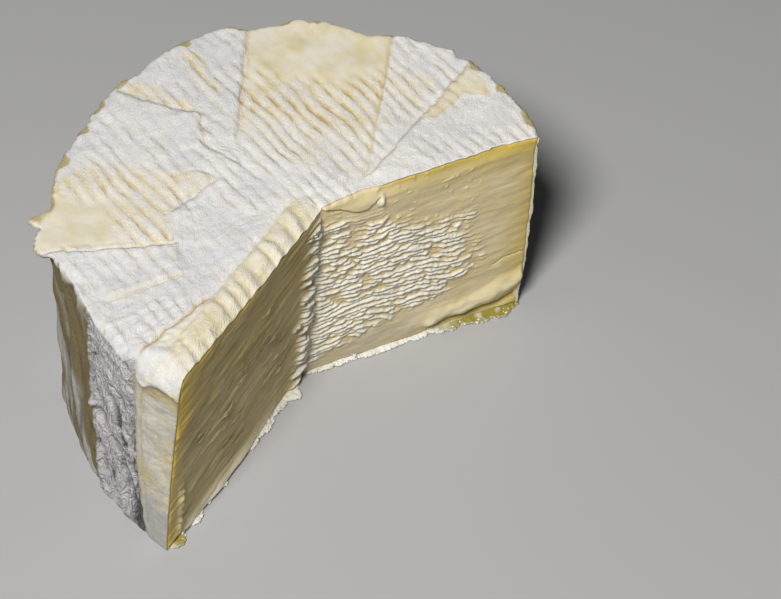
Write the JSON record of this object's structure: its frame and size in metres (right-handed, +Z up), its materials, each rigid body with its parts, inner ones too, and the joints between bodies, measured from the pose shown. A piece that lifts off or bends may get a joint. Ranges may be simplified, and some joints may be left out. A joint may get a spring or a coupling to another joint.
{
  "type": "triple-cream cheese",
  "caption": "Small soft-ripened cheese drum with a wide wedge cut out, showing a flaky cream paste inside a thin folded bloomy rind.",
  "frame": {"origin": "centre of the base of the box round the cheese, in the plane the cheese rests on", "axes": "+Z up through the flat top; the cut-out wedge opens towards -Y and +X"},
  "size_m": [0.0912, 0.0892, 0.0502],
  "materials": {
    "cheese": "white bloomy rind with cream-yellow folds outside, pale cream paste that turns yellow beside the rind; satin where cut, dull where it flakes"
  },
  "bodies": {
    "root": {"cheese": "cheese"}
  },
  "joints": []
}
